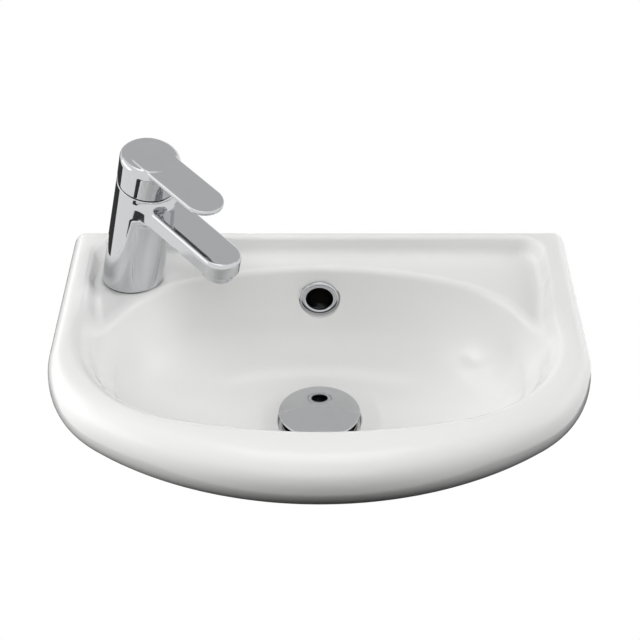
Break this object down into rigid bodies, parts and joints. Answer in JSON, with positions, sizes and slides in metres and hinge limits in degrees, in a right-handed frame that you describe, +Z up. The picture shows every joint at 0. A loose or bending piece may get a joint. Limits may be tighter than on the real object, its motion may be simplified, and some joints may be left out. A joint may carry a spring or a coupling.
{
  "type": "hand basin",
  "caption": "Wall-hung D-shaped china hand basin with a rolled rim, a leaning lever mixer tap at its rear left corner, an overflow ring and a push-down domed waste plug.",
  "frame": {"origin": "midway between the two wall fixing holes, on the wall's face", "axes": "+X to the user's right as they face the wall, +Y into the wall, +Z up"},
  "size_m": [0.4, 0.295, 0.2716],
  "materials": {
    "china": "white glaze",
    "chrome": "polished plate",
    "brass": "turned",
    "steel": "stainless",
    "rubber": "moulded",
    "acetal": "moulded",
    "disc_ceramic": "lapped"
  },
  "bodies": {
    "root": {"basin": "china", "overflow_ring": "chrome", "tap_body": "chrome", "aerator_housing": "chrome", "waste_body": "chrome", "tap_shroud": "chrome", "cartridge_nut": "brass", "waste_backnut": "brass", "mounting_nut": "brass", "click_spring": "steel", "mounting_stud": "steel", "clamp_plate": "steel", "waste_flange_seal": "rubber", "waste_lower_seal": "rubber", "tap_base_gasket": "rubber", "clamp_gasket": "rubber", "cartridge_seals": "rubber", "aerator_washer": "rubber", "cartridge_housing": "acetal", "cartridge_base": "acetal", "aerator_insert": "acetal", "click_housing": "acetal", "fixed_disc": "disc_ceramic"},
    "swivel": {"spindle_guide": "acetal", "pivot_pin": "steel"},
    "handle": {"handle": "chrome", "handle_grub_screw": "steel", "lever_spindle": "brass"},
    "disc": {"moving_disc": "disc_ceramic"},
    "plug": {"plug_cap": "chrome", "plug_seal": "rubber", "plug_stem": "brass"}
  },
  "joints": [
    {"name": "lever_swivel", "type": "hinge", "parent": "root", "child": "swivel", "pos_m": [-0.12995, -0.06284, 0.16501], "axis": [0.188, -0.19, 0.9636], "range_deg": [-45, 45]},
    {"name": "lever_lift", "type": "hinge", "parent": "swivel", "child": "handle", "pos_m": [-0.12995, -0.06284, 0.16501], "axis": [-0.7108, -0.7034, 0], "range_deg": [0, 18]},
    {"name": "disc_slide", "type": "slide", "parent": "swivel", "child": "disc", "axis": [0.6778, -0.6849, -0.2672], "range_m": [0, 0.006]},
    {"name": "plug_press", "type": "slide", "parent": "root", "child": "plug", "axis": [0, 0, 1], "range_m": [-0.0067, 0], "stiffness_N_per_m": 800, "springref_m": 0.01, "deforming": ["click_spring"]}
  ],
  "couplings": [
    {"joint": "disc_slide", "follows": "lever_lift", "m_per_rad": 0.01869}
  ]
}
